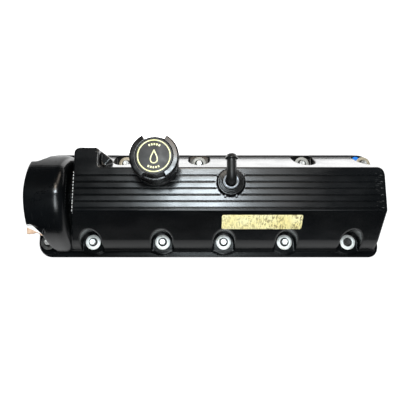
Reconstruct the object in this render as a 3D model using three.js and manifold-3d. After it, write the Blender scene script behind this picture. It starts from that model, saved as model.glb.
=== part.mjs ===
// Valve cover of a V8 engine bank, complete with its captive bolts, oil filler and breather valve.
// Millimetres. +X runs along the engine from the timing end, +Y faces inboard, +Z points up.
// The tips of the captive bolts stand on z = 0 and the gasket seals at z = SEAL_PLANE.

import * as THREE from 'three';
import { mergeVertices } from 'three/addons/utils/BufferGeometryUtils.js';
import Module from 'manifold-3d';

const wasm = await Module();
wasm.setup();

// ---- driving dimensions ----

const HALF_LENGTH = 259;
const HALF_WIDTH = 81;
const SEAL_PLANE = 12;
const GASKET_THICKNESS = 3;
const REST_GAP = 0.3;
const FLANGE_BOTTOM = SEAL_PLANE + GASKET_THICKNESS + REST_GAP;
const FLANGE_TOP = 20;
const FLANGE_CORNERS = { nearLeft: 22, nearRight: 15, farRight: 24, farLeft: 22 };
const GASKET_INSET = 1.2;
const GASKET_WIDTH = 6;
const WALL = 4;

const SKIRT_NEAR_Y = -74.5;
const SKIRT_FAR_Y = 76;
const KNUCKLE = { y: -62.4, z: 39 };
const RIDGE_Y = -21.1;
const PLATEAU_FAR_Y = 41.8;
const PLATEAU_Z = 89;
const BODY_LEFT = -194;
const BODY_RIGHT = 252;

const GROOVE_COUNT = 6;
const GROOVE_FIRST_Y = -18.5;
const GROOVE_LAST_Y = 30.5;
const GROOVE_WIDTH = 2.4;
const GROOVE_DEPTH = 1.6;
const GROOVE_END_MARGIN = 4;

const DOME_FRONT = -257;
const DOME_BACK = -206;
const DOME_TOP = 110;
const DOME_FRONT_WALL = 5;
const VALLEY_DEPTH = 12;

const BREATHER_BOX = { left: -196, right: -150, near: 20, far: 71.4, radius: 8 };
const GUSSET_TOP = 78;
const GUSSET_REACH = 14;

const BOLT_NEAR_Y = -58.4;
const BOLT_FAR_Y = 64.3;
const NEAR_BOLT_X = [-174.9, -69.4, 23.1, 115.6, 211.7];
const FAR_BOLT_X = [-128.1, -14.0, 147.0, 242.8];
const EAR_BOLT_X = -243;
const POCKET_RADIUS = 16;
const POCKET_SHIFT = 1.6;
const EAR_POCKET_RADIUS = 13;
const EAR_POCKET_TOP = 36;
const EAR_SOCKET_RADIUS = 6.4;

const BOLT_RADIUS = 3;
const BOLT_FLANGE_RADIUS = 5.3;
const BOLT_FLANGE_HEIGHT = 1.2;
const HEX_FLATS = 8;
const HEX_HEIGHT = 4.5;
const WASHER_RADIUS = 11.5;
const WASHER_STEP_RADIUS = 8.5;
const WASHER_HEIGHT = 1.3;
const WASHER_STEP_HEIGHT = 1.1;
const ISOLATOR_RADIUS = 10.5;
const ISOLATOR_STEM_RADIUS = 6.9;
const ISOLATOR_HEAD_HEIGHT = 2;
const BOLT_CLEARANCE = 0.4;

const FILLER = { x: -74.2, y: 44.4 };
const FILLER_BORE = 21.8;
const FILLER_BOSS_RADIUS = 26;
const FILLER_BOSS_BOTTOM = 56;
const NECK_RADIUS = 21.5;
const NECK_BORE = 18;
const NECK_BOTTOM = 70;
const NECK_TOP = 120;
const NECK_LUG_REACH = 0.9;
const COLLAR_RADIUS = 31.5;
const COLLAR_HEIGHT = 6;
const SEAL_SECTION = 1.7;
const SLEEVE_RADIUS = 31;
const SLEEVE_BORE = 25;
const CAP_PLATE_RADIUS = 33.6;
const CAP_PLATE_BOTTOM = 126;
const CAP_TOP = 139;
const CAP_SEAL_HEIGHT = 3;
const CAP_NOTCH_WIDTH = 30;
const CAP_NOTCH_DEPTH = 7;
const BADGE_RADIUS = 25;
const BADGE_THICKNESS = 1.2;

const PCV = { x: 31.3, y: 19 };
const PCV_BOSS_RADIUS = 17;
const PCV_BOSS_BOTTOM = 74;
const PCV_BORE = 12.3;
const PCV_STEM_RADIUS = 12;
const PCV_STEM_BOTTOM = 62;
const PCV_RING_RADIUS = 21;
const PCV_RING_HEIGHT = 5.4;
const PCV_SOCKET_RADIUS = 7.7;
const PCV_SOCKET_FLOOR = 88;
const PCV_CHAMBER_RADIUS = 6.6;
const PCV_INLET_RADIUS = 4;
const PCV_TOP = 100.6;
const ELBOW_RADIUS = 7;
const ELBOW_BORE = 4.6;
const ELBOW_AXIS_Z = 112;
const ELBOW_END_Y = 54.5;
const ELBOW_BEND_RADIUS = 9;
const BARB_RADIUS = 8.9;
const BARB_LENGTH = 6;
const RETAINING_RING_RADIUS = 11;
const SPRING_STOP_BORE = 3.1;
const SPRING_TURNS = 6;
const SPRING_RADIUS = 4.9;
const SPRING_WIRE = 0.5;

const BAFFLE = { left: -34, right: 204, near: -30, far: 37, bottom: 56, thickness: 1.5, radius: 8 };
const BAFFLE_LIP = 7;
const BAFFLE_SLOTS = 9;
const SCREW_X = [-24, 85, 194];
const SCREW_Y = [-14, 29];
const SCREW_BOSS_RADIUS = 6;
const SCREW_RADIUS = 2.2;
const SCREW_HEAD_RADIUS = 4.5;
const SCREW_HEAD_HEIGHT = 2.4;
const SCREW_DEPTH = 12;

const LABEL = { left: 18.6, width: 115.5, height: 27, thickness: 0.8, radius: 3, topY: -25 };

// ---- materials ----

const paint = { color: 0x0b0b0d, roughness: 0.22, metalness: 0.0 };
const plastic = { color: 0x141416, roughness: 0.45, metalness: 0.0 };
const rubber = { color: 0x1b1b1c, roughness: 0.8, metalness: 0.0 };
const zinc = { color: 0xc9c7bd, roughness: 0.35, metalness: 0.9 };
const steel = { color: 0x8f9194, roughness: 0.4, metalness: 0.9 };
const labelStock = { color: 0xe3d79a, roughness: 0.6, metalness: 0.0 };

// ---- geometry helpers ----

function toSolid(geometry) {
  const bare = geometry.clone();
  bare.deleteAttribute('normal');
  bare.deleteAttribute('uv');
  const merged = mergeVertices(bare, 1e-4);
  const index = merged.index.array;
  const triangles = [];
  for (let i = 0; i < index.length; i += 3) {
    const [a, b, c] = [index[i], index[i + 1], index[i + 2]];
    if (a !== b && b !== c && c !== a) triangles.push(a, b, c);
  }
  const mesh = new wasm.Mesh({
    numProp: 3,
    vertProperties: new Float32Array(merged.attributes.position.array),
    triVerts: new Uint32Array(triangles),
  });
  return new wasm.Manifold(mesh);
}

function toGeometry(solid) {
  const mesh = solid.getMesh();
  const geometry = new THREE.BufferGeometry();
  geometry.setAttribute('position', new THREE.BufferAttribute(mesh.vertProperties, 3));
  geometry.setIndex(new THREE.BufferAttribute(mesh.triVerts, 1));
  geometry.computeVertexNormals();
  return geometry;
}

function join(solids) {
  return solids.reduce((whole, piece) => whole.add(piece));
}

function toShape(points) {
  return new THREE.Shape(points.map(([u, v]) => new THREE.Vector2(u, v)));
}

// A prism whose outline lies in the XY plane.
function prismZ(points, bottom, top, holes = []) {
  const shape = toShape(points);
  shape.holes = holes.map((hole) => new THREE.Path(toShape(hole).getPoints()));
  const geometry = new THREE.ExtrudeGeometry(shape, { depth: top - bottom, bevelEnabled: false });
  return toSolid(geometry.translate(0, 0, bottom));
}

// A prism whose outline lies in the YZ plane.
function prismX(points, left, right) {
  const geometry = new THREE.ExtrudeGeometry(toShape(points), { depth: right - left, bevelEnabled: false });
  const toYZ = new THREE.Matrix4().makeBasis(
    new THREE.Vector3(0, 1, 0),
    new THREE.Vector3(0, 0, 1),
    new THREE.Vector3(1, 0, 0),
  );
  return toSolid(geometry.applyMatrix4(toYZ).translate(left, 0, 0));
}

function cylinderZ(x, y, radius, bottom, top, segments = 24) {
  const geometry = new THREE.CylinderGeometry(radius, radius, top - bottom, segments);
  return toSolid(geometry.rotateX(Math.PI / 2).translate(x, y, (bottom + top) / 2));
}

function box(left, right, near, far, bottom, top) {
  const geometry = new THREE.BoxGeometry(right - left, far - near, top - bottom);
  return toSolid(geometry.translate((left + right) / 2, (near + far) / 2, (bottom + top) / 2));
}

// A solid of revolution about +Z. The profile is [radius, z] pairs, outer side rising.
function latheZ(profile, segments = 24) {
  const points = profile.map(([r, z]) => new THREE.Vector2(r, z));
  if (profile[0][0] > 0) points.push(points[0].clone());
  return toSolid(new THREE.LatheGeometry(points, segments).rotateX(Math.PI / 2));
}

function ring(inner, outer, bottom, top, segments) {
  return latheZ([[inner, bottom], [outer, bottom], [outer, top], [inner, top]], segments);
}

// Moves every side of a counter-clockwise outline inwards.
function inset(points, distance) {
  const side = (from, to) => {
    const length = Math.hypot(to[0] - from[0], to[1] - from[1]);
    return [-(to[1] - from[1]) / length, (to[0] - from[0]) / length];
  };
  return points.map((point, i) => {
    const before = side(points[(i + points.length - 1) % points.length], point);
    const after = side(point, points[(i + 1) % points.length]);
    const reach = distance / (1 + before[0] * after[0] + before[1] * after[1]);
    return [point[0] + (before[0] + after[0]) * reach, point[1] + (before[1] + after[1]) * reach];
  });
}

// A counter-clockwise rectangle with one radius for each corner.
function roundedRectangle(left, right, near, far, corners, steps = 6) {
  const arcs = [
    [left + corners.nearLeft, near + corners.nearLeft, corners.nearLeft, Math.PI],
    [right - corners.nearRight, near + corners.nearRight, corners.nearRight, 1.5 * Math.PI],
    [right - corners.farRight, far - corners.farRight, corners.farRight, 0],
    [left + corners.farLeft, far - corners.farLeft, corners.farLeft, 0.5 * Math.PI],
  ];
  const points = [];
  for (const [x, y, radius, start] of arcs) {
    for (let i = 0; i <= steps; i++) {
      const angle = start + (i / steps) * (Math.PI / 2);
      points.push([x + radius * Math.cos(angle), y + radius * Math.sin(angle)]);
    }
  }
  return points;
}

function evenCorners(radius) {
  return { nearLeft: radius, nearRight: radius, farRight: radius, farLeft: radius };
}

function smooth(points, divisions) {
  const curve = new THREE.SplineCurve(points.map(([u, v]) => new THREE.Vector2(u, v)));
  return curve.getPoints(divisions).map((p) => [p.x, p.y]);
}

// ---- fastener places ----

function boltPlaces() {
  const near = NEAR_BOLT_X.map((x) => ({ x, y: BOLT_NEAR_Y, side: -1, ear: false }));
  const far = FAR_BOLT_X.map((x) => ({ x, y: BOLT_FAR_Y, side: 1, ear: false }));
  const ears = [-1, 1].map((side) => ({
    x: EAR_BOLT_X,
    y: side < 0 ? BOLT_NEAR_Y : BOLT_FAR_Y,
    side,
    ear: true,
  }));
  return [...near, ...far, ...ears];
}

function screwPlaces() {
  return SCREW_X.flatMap((x) => SCREW_Y.map((y) => ({ x, y })));
}

// ---- cover shell ----

function flangeOutline() {
  return roundedRectangle(-HALF_LENGTH, HALF_LENGTH, -HALF_WIDTH, HALF_WIDTH, FLANGE_CORNERS);
}

function bodyProfile(bottom) {
  return [
    [SKIRT_NEAR_Y, bottom],
    [SKIRT_FAR_Y, bottom],
    [SKIRT_FAR_Y, FLANGE_TOP],
    [PLATEAU_FAR_Y, PLATEAU_Z],
    [RIDGE_Y, PLATEAU_Z],
    [KNUCKLE.y, KNUCKLE.z],
    [SKIRT_NEAR_Y, FLANGE_TOP],
  ];
}

function domeProfile(bottom) {
  const arch = smooth(
    [
      [SKIRT_FAR_Y, FLANGE_TOP],
      [69, 46],
      [58, 72],
      [42, 92],
      [22, 106],
      [0, DOME_TOP],
      [-22, 103],
      [-42, 88],
      [-56, 70],
      [-67, 45],
      [SKIRT_NEAR_Y, FLANGE_TOP],
    ],
    20,
  );
  return [[SKIRT_NEAR_Y, bottom], [SKIRT_FAR_Y, bottom], ...arch];
}

// The front lobe is narrow and sweeps out to full width behind the two ear bolts.
function domePlan() {
  const nearSweep = smooth(
    [
      [-249, -42],
      [-241, -46.5],
      [-237, -58],
      [-233, -68],
      [-227, SKIRT_NEAR_Y],
    ],
    8,
  );
  const farSweep = smooth(
    [
      [-222, SKIRT_FAR_Y],
      [-229, 70],
      [-234, 60],
      [-240, 53],
      [-248, 51],
    ],
    8,
  );
  return [
    [DOME_FRONT, 51],
    [DOME_FRONT, -42],
    ...nearSweep,
    [DOME_BACK, SKIRT_NEAR_Y],
    [DOME_BACK, SKIRT_FAR_Y],
    ...farSweep,
  ];
}

function breatherBoxOutline() {
  const { left, right, near, far, radius } = BREATHER_BOX;
  return roundedRectangle(left, right, near, far, evenCorners(radius), 4);
}

function domeSolid(shrink) {
  const profile = inset(domeProfile(FLANGE_BOTTOM - 3 * shrink), shrink);
  const plan = inset(domePlan(), shrink * (DOME_FRONT_WALL / WALL));
  const lengthwise = prismX(profile, DOME_FRONT - 1, DOME_BACK + 1);
  return lengthwise.intersect(prismZ(plan, 0, DOME_TOP + 10));
}

function coverVolume(shrink) {
  const below = FLANGE_BOTTOM - 3 * shrink;
  const neckInset = VALLEY_DEPTH + shrink;
  const body = prismX(inset(bodyProfile(below), shrink), BODY_LEFT + shrink, BODY_RIGHT - shrink);
  const neck = prismX(inset(bodyProfile(below - VALLEY_DEPTH), neckInset), DOME_BACK - 12, BODY_LEFT + 12);
  const breather = prismZ(inset(breatherBoxOutline(), shrink), below, PLATEAU_Z - shrink);
  return join([body, neck, breather, domeSolid(shrink)]);
}

// A bolt pocket is a U open to the outside, from the pocket floor up through the sloping face.
function pocket(place, radius, bottom, top) {
  const centreY = place.y + place.side * POCKET_SHIFT;
  const round = cylinderZ(place.x, centreY, radius, bottom, top);
  const outside = centreY + place.side * 30;
  const [near, far] = [Math.min(centreY, outside), Math.max(centreY, outside)];
  return round.add(box(place.x - radius, place.x + radius, near, far, bottom, top));
}

function pocketBlocks() {
  return boltPlaces().map((place) => {
    if (place.ear) return cylinderZ(place.x, place.y, EAR_POCKET_RADIUS + WALL, 0, EAR_POCKET_TOP + WALL);
    return pocket(place, POCKET_RADIUS + WALL, 0, PLATEAU_Z);
  });
}

function pocketCuts() {
  const sky = DOME_TOP + 10;
  return boltPlaces().flatMap((place) => {
    const hole = cylinderZ(place.x, place.y, ISOLATOR_STEM_RADIUS + REST_GAP, 0, FLANGE_TOP + 1, 16);
    if (!place.ear) return [hole, pocket(place, POCKET_RADIUS, FLANGE_TOP, sky)];
    return [
      hole,
      cylinderZ(place.x, place.y, EAR_POCKET_RADIUS, FLANGE_TOP, EAR_POCKET_TOP),
      cylinderZ(place.x, place.y, EAR_SOCKET_RADIUS, FLANGE_TOP, sky, 16),
    ];
  });
}

function grooveCuts() {
  const pitch = (GROOVE_LAST_Y - GROOVE_FIRST_Y) / (GROOVE_COUNT - 1);
  const cuts = [];
  for (let i = 0; i < GROOVE_COUNT; i++) {
    const y = GROOVE_FIRST_Y + i * pitch;
    const near = y - GROOVE_WIDTH / 2;
    const right = BODY_RIGHT - GROOVE_END_MARGIN;
    cuts.push(box(BODY_LEFT - 1, right, near, near + GROOVE_WIDTH, PLATEAU_Z - GROOVE_DEPTH, PLATEAU_Z + 5));
  }
  return cuts;
}

function gusset() {
  const { right, far } = BREATHER_BOX;
  const corner = [[right - 1, far - 6], [right - 1, far - 26], [right + GUSSET_REACH, far - 20]];
  return prismZ([corner[0], corner[1], corner[2]], FLANGE_TOP - 1, GUSSET_TOP);
}

function coverShell() {
  const flange = prismZ(flangeOutline(), FLANGE_BOTTOM, FLANGE_TOP);
  const fillerBoss = cylinderZ(FILLER.x, FILLER.y, FILLER_BOSS_RADIUS, FILLER_BOSS_BOTTOM, PLATEAU_Z, 32);
  const outside = join([coverVolume(0), flange, fillerBoss, gusset()]);
  const cavity = pocketBlocks().reduce((hollow, block) => hollow.subtract(block), coverVolume(WALL));
  const bosses = screwPlaces().map(({ x, y }) => {
    const bottom = BAFFLE.bottom + BAFFLE.thickness + REST_GAP;
    return cylinderZ(x, y, SCREW_BOSS_RADIUS, bottom, PLATEAU_Z - WALL / 2, 12);
  });
  bosses.push(cylinderZ(PCV.x, PCV.y, PCV_BOSS_RADIUS, PCV_BOSS_BOTTOM, PLATEAU_Z, 32));
  const holes = screwPlaces().map(({ x, y }) => {
    const top = BAFFLE.bottom + SCREW_DEPTH + 3;
    return cylinderZ(x, y, SCREW_RADIUS + REST_GAP, 0, top, 12);
  });
  holes.push(cylinderZ(PCV.x, PCV.y, PCV_BORE, 0, PLATEAU_Z + 5, 32));
  holes.push(cylinderZ(FILLER.x, FILLER.y, FILLER_BORE, FILLER_BOSS_BOTTOM + 6, PLATEAU_Z + 5, 32));
  const cast = join([outside.subtract(cavity), ...bosses]);
  return [...pocketCuts(), ...grooveCuts(), ...holes].reduce((left, cut) => left.subtract(cut), cast);
}

// ---- gasket, bolts, washers and isolators ----

function gasket() {
  const outer = inset(flangeOutline(), GASKET_INSET);
  const inner = inset(flangeOutline(), GASKET_INSET + GASKET_WIDTH);
  return prismZ(outer, SEAL_PLANE, SEAL_PLANE + GASKET_THICKNESS, [inner]);
}

const ISOLATOR_BASE = FLANGE_TOP + REST_GAP;
const WASHER_BASE = ISOLATOR_BASE + ISOLATOR_HEAD_HEIGHT + REST_GAP;
const BOLT_SEAT = WASHER_BASE + WASHER_HEIGHT + WASHER_STEP_HEIGHT + REST_GAP;

function isolator() {
  const bore = BOLT_RADIUS + BOLT_CLEARANCE;
  return latheZ(
    [
      [bore, FLANGE_BOTTOM],
      [ISOLATOR_STEM_RADIUS, FLANGE_BOTTOM],
      [ISOLATOR_STEM_RADIUS, ISOLATOR_BASE],
      [ISOLATOR_RADIUS, ISOLATOR_BASE],
      [ISOLATOR_RADIUS, ISOLATOR_BASE + ISOLATOR_HEAD_HEIGHT],
      [bore, ISOLATOR_BASE + ISOLATOR_HEAD_HEIGHT],
    ],
    12,
  );
}

function washer() {
  const bore = BOLT_RADIUS + BOLT_CLEARANCE;
  const step = WASHER_BASE + WASHER_HEIGHT;
  return latheZ(
    [
      [bore, WASHER_BASE],
      [WASHER_RADIUS, WASHER_BASE],
      [WASHER_RADIUS, step],
      [WASHER_STEP_RADIUS, step],
      [WASHER_STEP_RADIUS, step + WASHER_STEP_HEIGHT],
      [bore, step + WASHER_STEP_HEIGHT],
    ],
    16,
  );
}

function bolt() {
  const chamfer = 1;
  const shank = latheZ(
    [
      [0, 0],
      [BOLT_RADIUS - chamfer, 0],
      [BOLT_RADIUS, chamfer],
      [BOLT_RADIUS, BOLT_SEAT],
      [BOLT_FLANGE_RADIUS, BOLT_SEAT],
      [BOLT_FLANGE_RADIUS, BOLT_SEAT + BOLT_FLANGE_HEIGHT],
      [0, BOLT_SEAT + BOLT_FLANGE_HEIGHT],
    ],
    12,
  );
  const hexRadius = HEX_FLATS / Math.sqrt(3);
  const top = BOLT_SEAT + BOLT_FLANGE_HEIGHT + HEX_HEIGHT;
  return shank.add(cylinderZ(0, 0, hexRadius, BOLT_SEAT, top, 6));
}

// ---- oil baffle ----

function baffle() {
  const { left, right, near, far, bottom, thickness, radius } = BAFFLE;
  const top = bottom + thickness;
  const plate = prismZ(roundedRectangle(left, right, near, far, evenCorners(radius), 3), bottom, top);
  const lips = [near, far - thickness].map((y) => {
    return box(left + radius, right - radius, y, y + thickness, bottom, bottom + BAFFLE_LIP);
  });
  const cuts = screwPlaces().map(({ x, y }) => {
    return cylinderZ(x, y, SCREW_RADIUS + BOLT_CLEARANCE, bottom - 1, top + 1, 12);
  });
  const pitch = (right - left) / (BAFFLE_SLOTS + 1);
  for (let i = 1; i <= BAFFLE_SLOTS; i++) {
    const x = left + i * pitch;
    cuts.push(box(x - 6, x + 6, 1.5, 5.5, bottom - 1, top + 1));
  }
  return cuts.reduce((sheet, cut) => sheet.subtract(cut), join([plate, ...lips]));
}

function baffleScrew() {
  const head = BAFFLE.bottom - REST_GAP;
  return latheZ(
    [
      [0, head - SCREW_HEAD_HEIGHT],
      [SCREW_HEAD_RADIUS, head - SCREW_HEAD_HEIGHT],
      [SCREW_HEAD_RADIUS, head],
      [SCREW_RADIUS, head],
      [SCREW_RADIUS, head + SCREW_DEPTH],
      [0, head + SCREW_DEPTH],
    ],
    12,
  );
}

// ---- oil filler ----

const NECK_SEAT = PLATEAU_Z + SEAL_SECTION + 2 * REST_GAP;
const SLEEVE_BOTTOM = NECK_SEAT + COLLAR_HEIGHT + 1;
const CAP_CEILING = NECK_TOP + CAP_SEAL_HEIGHT + 2 * REST_GAP;

function seatSeal(inner, outer) {
  const base = PLATEAU_Z + REST_GAP;
  return ring(inner, outer, base, base + SEAL_SECTION, 28);
}

function fillerNeck() {
  const tube = ring(NECK_BORE, NECK_RADIUS, NECK_BOTTOM, NECK_TOP, 32);
  const reach = NECK_RADIUS + NECK_LUG_REACH;
  const lugs = [-1, 1].map((side) => {
    const [inner, outer] = [side * (NECK_RADIUS - 1), side * reach];
    return box(Math.min(inner, outer), Math.max(inner, outer), -4, 4, NECK_TOP - 8, NECK_TOP - 4);
  });
  return join([tube, ...lugs]);
}

// The collar holds the neck in the cover and presses its seal on the boss.
function neckCollar() {
  return ring(NECK_RADIUS + REST_GAP, COLLAR_RADIUS, NECK_SEAT, NECK_SEAT + COLLAR_HEIGHT, 32);
}

function capSleeve() {
  return ring(SLEEVE_BORE, SLEEVE_RADIUS, SLEEVE_BOTTOM, CAP_PLATE_BOTTOM - REST_GAP, 36);
}

function oilCap() {
  const plug = SLEEVE_BORE - REST_GAP;
  const round = latheZ(
    [
      [0, CAP_CEILING],
      [plug, CAP_CEILING],
      [plug, CAP_PLATE_BOTTOM],
      [SLEEVE_RADIUS, CAP_PLATE_BOTTOM],
      [CAP_PLATE_RADIUS, CAP_PLATE_BOTTOM + 1],
      [CAP_PLATE_RADIUS, CAP_TOP - 2],
      [CAP_PLATE_RADIUS - 2, CAP_TOP],
      [BADGE_RADIUS + REST_GAP, CAP_TOP],
      [BADGE_RADIUS + REST_GAP, CAP_TOP - BADGE_THICKNESS - REST_GAP],
      [0, CAP_TOP - BADGE_THICKNESS - REST_GAP],
    ],
    36,
  );
  const half = CAP_NOTCH_WIDTH / 2;
  const notches = [-1, 1].map((side) => {
    const [inner, outer] = [side * (CAP_PLATE_RADIUS - CAP_NOTCH_DEPTH), side * (CAP_PLATE_RADIUS + 5)];
    const [near, far] = [Math.min(inner, outer), Math.max(inner, outer)];
    return box(-half, half, near, far, CAP_PLATE_BOTTOM + 2, CAP_TOP + 1);
  });
  return notches.reduce((cap, notch) => cap.subtract(notch), round);
}

function capSeal() {
  const base = NECK_TOP + REST_GAP;
  return ring(NECK_BORE, NECK_RADIUS + NECK_LUG_REACH, base, base + CAP_SEAL_HEIGHT, 32);
}

function capBadge() {
  return cylinderZ(0, 0, BADGE_RADIUS, CAP_TOP - BADGE_THICKNESS, CAP_TOP, 36);
}

// ---- crankcase ventilation valve ----

const PCV_SEAT = PLATEAU_Z + SEAL_SECTION + 2 * REST_GAP;
const PCV_CHAMBER_FLOOR = PCV_STEM_BOTTOM + 4;
const PCV_STOP_BASE = PCV_SOCKET_FLOOR - 4.6;

function pcvBody() {
  const ringTop = PCV_SEAT + PCV_RING_HEIGHT;
  return latheZ(
    [
      [PCV_INLET_RADIUS, PCV_STEM_BOTTOM],
      [PCV_STEM_RADIUS - 2, PCV_STEM_BOTTOM],
      [PCV_STEM_RADIUS, PCV_STEM_BOTTOM + 2],
      [PCV_STEM_RADIUS, PCV_SEAT],
      [PCV_RING_RADIUS, PCV_SEAT],
      [PCV_RING_RADIUS, ringTop],
      [PCV_RING_RADIUS - 4, ringTop + 1],
      [PCV_RING_RADIUS - 8, ringTop + 2],
      [PCV_RING_RADIUS - 8, PCV_TOP],
      [PCV_SOCKET_RADIUS, PCV_TOP],
      [PCV_SOCKET_RADIUS, PCV_SOCKET_FLOOR],
      [PCV_CHAMBER_RADIUS, PCV_SOCKET_FLOOR],
      [PCV_CHAMBER_RADIUS, PCV_CHAMBER_FLOOR],
      [PCV_INLET_RADIUS, PCV_CHAMBER_FLOOR],
    ],
    24,
  );
}

function pcvPlunger() {
  const base = PCV_CHAMBER_FLOOR + REST_GAP;
  const head = PCV_CHAMBER_RADIUS - 0.5;
  return latheZ(
    [
      [0, base],
      [head, base],
      [head, base + 1.8],
      [3.6, base + 2.4],
      [3.6, base + 9],
      [2.2, PCV_STOP_BASE + 1],
      [0, PCV_STOP_BASE + 1],
    ],
    16,
  );
}

function pcvStop() {
  const outer = PCV_CHAMBER_RADIUS - REST_GAP;
  const [bottom, top] = [PCV_STOP_BASE, PCV_SOCKET_FLOOR - REST_GAP];
  return ring(SPRING_STOP_BORE, outer, bottom, top, 20);
}

class Coil extends THREE.Curve {
  constructor(radius, bottom, top, turns) {
    super();
    Object.assign(this, { radius, bottom, top, turns });
  }

  getPoint(t, target = new THREE.Vector3()) {
    const angle = 2 * Math.PI * this.turns * t;
    const z = THREE.MathUtils.lerp(this.bottom, this.top, t);
    return target.set(this.radius * Math.cos(angle), this.radius * Math.sin(angle), z);
  }
}

function circleShape(radius, sides) {
  const points = [];
  for (let i = 0; i < sides; i++) {
    const angle = (2 * Math.PI * i) / sides;
    points.push([radius * Math.cos(angle), radius * Math.sin(angle)]);
  }
  return toShape(points);
}

function pcvSpring() {
  const bottom = PCV_CHAMBER_FLOOR + REST_GAP + 1.8 + REST_GAP + SPRING_WIRE;
  const top = PCV_STOP_BASE - REST_GAP - SPRING_WIRE;
  const path = new Coil(SPRING_RADIUS, bottom, top, SPRING_TURNS);
  const settings = { extrudePath: path, steps: SPRING_TURNS * 12, bevelEnabled: false };
  return toSolid(new THREE.ExtrudeGeometry(circleShape(SPRING_WIRE, 5), settings));
}

function elbowPath() {
  const reach = ELBOW_END_Y - PCV.y;
  const corner = ELBOW_AXIS_Z - ELBOW_BEND_RADIUS;
  const path = new THREE.CurvePath();
  const rise = new THREE.Vector3(0, 0, corner);
  const turn = new THREE.Vector3(0, ELBOW_BEND_RADIUS, ELBOW_AXIS_Z);
  path.add(new THREE.LineCurve3(new THREE.Vector3(0, 0, PCV_SOCKET_FLOOR + REST_GAP), rise));
  path.add(new THREE.QuadraticBezierCurve3(rise, new THREE.Vector3(0, 0, ELBOW_AXIS_Z), turn));
  path.add(new THREE.LineCurve3(turn, new THREE.Vector3(0, reach, ELBOW_AXIS_Z)));
  return path;
}

function pcvElbow() {
  const sweep = (radius) => {
    const settings = { extrudePath: elbowPath(), steps: 14, bevelEnabled: false };
    return toSolid(new THREE.ExtrudeGeometry(circleShape(radius, 16), settings));
  };
  const end = ELBOW_END_Y - PCV.y;
  const alongY = (geometry) => toSolid(geometry.translate(0, end - BARB_LENGTH, ELBOW_AXIS_Z));
  const barbProfile = [
    [ELBOW_RADIUS - 1, 0],
    [BARB_RADIUS, 0],
    [BARB_RADIUS, 1.6],
    [ELBOW_BORE + 0.9, BARB_LENGTH],
    [ELBOW_BORE + 0.2, BARB_LENGTH],
    [ELBOW_BORE + 0.2, 0.5],
    [ELBOW_RADIUS - 1, 0],
  ].map(([r, y]) => new THREE.Vector2(r, y));
  const barb = alongY(new THREE.LatheGeometry(barbProfile, 20));
  const trim = box(-20, 20, end - BARB_LENGTH + 1, end + 20, ELBOW_AXIS_Z - 20, ELBOW_AXIS_Z + 20);
  const bore = sweep(ELBOW_BORE);
  return sweep(ELBOW_RADIUS).subtract(trim).add(barb).subtract(bore);
}

function pcvRetainingRing() {
  const [bottom, top] = [PCV_TOP + REST_GAP, PCV_TOP + REST_GAP + 1.6];
  return ring(ELBOW_RADIUS + 0.5, RETAINING_RING_RADIUS, bottom, top, 24);
}

// ---- label ----

function labelPlate() {
  const { width, height, thickness, radius } = LABEL;
  const outline = roundedRectangle(0, width, -height, 0, evenCorners(radius), 3);
  return prismZ(outline, REST_GAP, REST_GAP + thickness);
}

// ---- assembly ----

const cover = new THREE.Group();

function place(name, solid, look, position = [0, 0, 0]) {
  const mesh = new THREE.Mesh(toGeometry(solid), new THREE.MeshStandardMaterial(look));
  mesh.name = name;
  mesh.position.set(...position);
  cover.add(mesh);
  return mesh;
}

place('cover_shell', coverShell(), paint);
place('perimeter_gasket', gasket(), rubber);

boltPlaces().forEach(({ x, y }, i) => {
  place(`isolator_${i + 1}`, isolator(), rubber, [x, y, 0]);
  place(`washer_${i + 1}`, washer(), zinc, [x, y, 0]);
  place(`bolt_${i + 1}`, bolt(), zinc, [x, y, 0]);
});

place('oil_baffle', baffle(), steel);
screwPlaces().forEach(({ x, y }, i) => {
  place(`baffle_screw_${i + 1}`, baffleScrew(), steel, [x, y, 0]);
});

const fillerOrigin = [FILLER.x, FILLER.y, 0];
place('filler_neck', fillerNeck(), plastic, fillerOrigin);
place('neck_collar', neckCollar(), plastic, fillerOrigin);
place('filler_neck_seal', seatSeal(NECK_RADIUS + REST_GAP, FILLER_BOSS_RADIUS), rubber, fillerOrigin);
place('oil_cap', oilCap(), plastic, fillerOrigin);
place('oil_cap_sleeve', capSleeve(), plastic, fillerOrigin);
place('oil_cap_seal', capSeal(), rubber, fillerOrigin);
place('oil_cap_badge', capBadge(), plastic, fillerOrigin);

const pcvOrigin = [PCV.x, PCV.y, 0];
place('pcv_valve_body', pcvBody(), plastic, pcvOrigin);
place('pcv_valve_seal', seatSeal(PCV_STEM_RADIUS + REST_GAP, PCV_BOSS_RADIUS), rubber, pcvOrigin);
place('pcv_plunger', pcvPlunger(), steel, pcvOrigin);
place('pcv_spring', pcvSpring(), steel, pcvOrigin);
place('pcv_spring_stop', pcvStop(), plastic, pcvOrigin);
place('pcv_retaining_ring', pcvRetainingRing(), zinc, pcvOrigin);
place('pcv_elbow', pcvElbow(), plastic, pcvOrigin);

const faceRun = RIDGE_Y - KNUCKLE.y;
const faceRise = PLATEAU_Z - KNUCKLE.z;
const labelTopZ = PLATEAU_Z + ((LABEL.topY - RIDGE_Y) * faceRise) / faceRun;
const label = place('label_plate', labelPlate(), labelStock, [LABEL.left, LABEL.topY, labelTopZ]);
label.rotation.x = Math.atan2(faceRise, faceRun);

export default cover;
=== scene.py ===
import math

import bmesh
import bpy
import numpy as np
from mathutils import Matrix, Vector


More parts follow.
